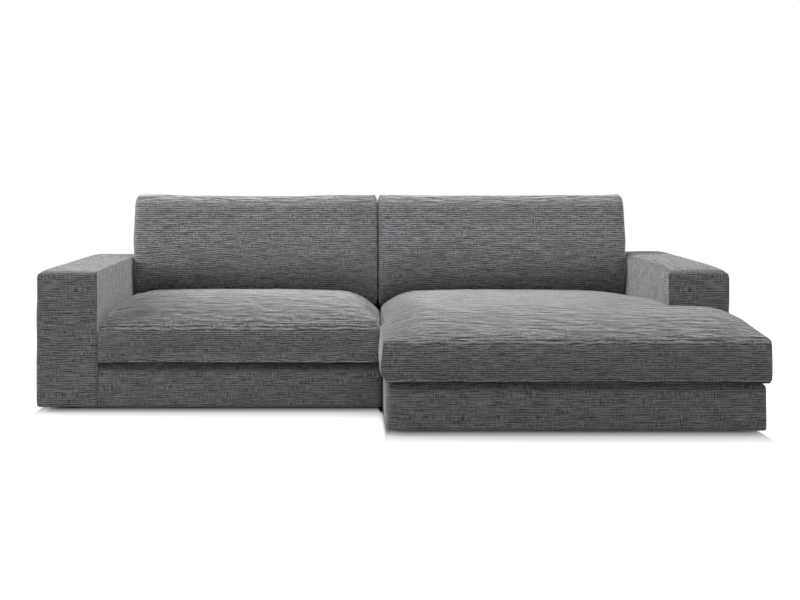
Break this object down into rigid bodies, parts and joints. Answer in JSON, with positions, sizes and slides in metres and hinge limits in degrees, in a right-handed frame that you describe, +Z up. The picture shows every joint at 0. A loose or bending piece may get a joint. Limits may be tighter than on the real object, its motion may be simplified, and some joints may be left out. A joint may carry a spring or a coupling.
{
  "type": "sofa with chaise",
  "caption": "Boxy two-unit sofa with a chaise: padded arms, raked low back, crowned seat cushions and leaning back cushions that lift off, on low glides.",
  "frame": {"origin": "on the floor under the middle of the sofa's overall box", "axes": "+X along the sofa to the viewer's right, where the chaise is; -Y the front; +Z up"},
  "size_m": [2.941, 1.512, 0.8901],
  "materials": {
    "upholstery": "dark grey slubbed chenille weave",
    "lining": "thin plain woven deck lining",
    "dust_cloth": "black spunbonded cloth",
    "webbing": "elastic webbing with dark stripes",
    "felt": "needled felt",
    "foam": "open-cell polyurethane foam",
    "timber": "planed softwood",
    "plywood": "raw plywood",
    "hardboard": "hardboard",
    "zinc_steel": "zinc plated",
    "pressed_steel": "black powder coat",
    "glide_plastic": "black moulded plastic"
  },
  "bodies": {
    "left_unit": {"left_arm_bolts": "zinc_steel", "left_arm_cover": "upholstery", "left_arm_end_boards": "plywood", "left_arm_foam": "foam", "left_arm_rails": "timber", "left_arm_side_panels": "hardboard", "left_arm_top_board": "plywood", "left_back_cover": "upholstery", "left_back_foam": "foam", "left_back_posts": "timber", "left_back_rails": "timber", "left_back_webbing": "webbing", "left_base_cover": "upholstery", "left_base_foam": "foam", "left_base_screws": "zinc_steel", "left_corner_blocks": "timber", "left_cross_rail": "timber", "left_deck_cover": "lining", "left_deck_felt": "felt", "left_dust_cover": "dust_cloth", "left_feet": "glide_plastic", "left_front_rail": "timber", "left_link": "pressed_steel", "left_rear_rail": "timber", "left_seat_webbing": "webbing", "left_side_rails": "timber"},
    "chaise_unit": {"chaise_arm_bolts": "zinc_steel", "chaise_arm_cover": "upholstery", "chaise_arm_end_boards": "plywood", "chaise_arm_foam": "foam", "chaise_arm_rails": "timber", "chaise_arm_side_panels": "hardboard", "chaise_arm_top_board": "plywood", "chaise_back_cover": "upholstery", "chaise_back_foam": "foam", "chaise_back_posts": "timber", "chaise_back_rails": "timber", "chaise_back_webbing": "webbing", "chaise_base_cover": "upholstery", "chaise_base_foam": "foam", "chaise_base_screws": "zinc_steel", "chaise_corner_blocks": "timber", "chaise_cross_rail": "timber", "chaise_deck_cover": "lining", "chaise_deck_felt": "felt", "chaise_dust_cover": "dust_cloth", "chaise_feet": "glide_plastic", "chaise_front_rail": "timber", "chaise_link": "pressed_steel", "chaise_rear_rail": "timber", "chaise_seat_webbing": "webbing", "chaise_side_rails": "timber"},
    "left_seat_cushion": {"left_seat_cushion_core": "foam", "left_seat_cushion_cover": "upholstery"},
    "chaise_seat_cushion": {"chaise_seat_cushion_core": "foam", "chaise_seat_cushion_cover": "upholstery"},
    "left_back_cushion": {"left_back_cushion_core": "foam", "left_back_cushion_cover": "upholstery"},
    "chaise_back_cushion": {"chaise_back_cushion_core": "foam", "chaise_back_cushion_cover": "upholstery"}
  },
  "joints": [
    {"name": "units_apart", "type": "slide", "parent": "left_unit", "child": "chaise_unit", "axis": [1, 0, 0], "range_m": [0, 0.3]},
    {"name": "left_seat_lift", "type": "slide", "parent": "left_unit", "child": "left_seat_cushion", "axis": [0, 0, 1], "range_m": [0, 0.45]},
    {"name": "chaise_seat_lift", "type": "slide", "parent": "chaise_unit", "child": "chaise_seat_cushion", "axis": [0, 0, 1], "range_m": [0, 0.45]},
    {"name": "left_back_lift", "type": "slide", "parent": "left_seat_cushion", "child": "left_back_cushion", "axis": [0, 0, 1], "range_m": [0, 0.3]},
    {"name": "chaise_back_lift", "type": "slide", "parent": "chaise_seat_cushion", "child": "chaise_back_cushion", "axis": [0, 0, 1], "range_m": [0, 0.3]}
  ]
}
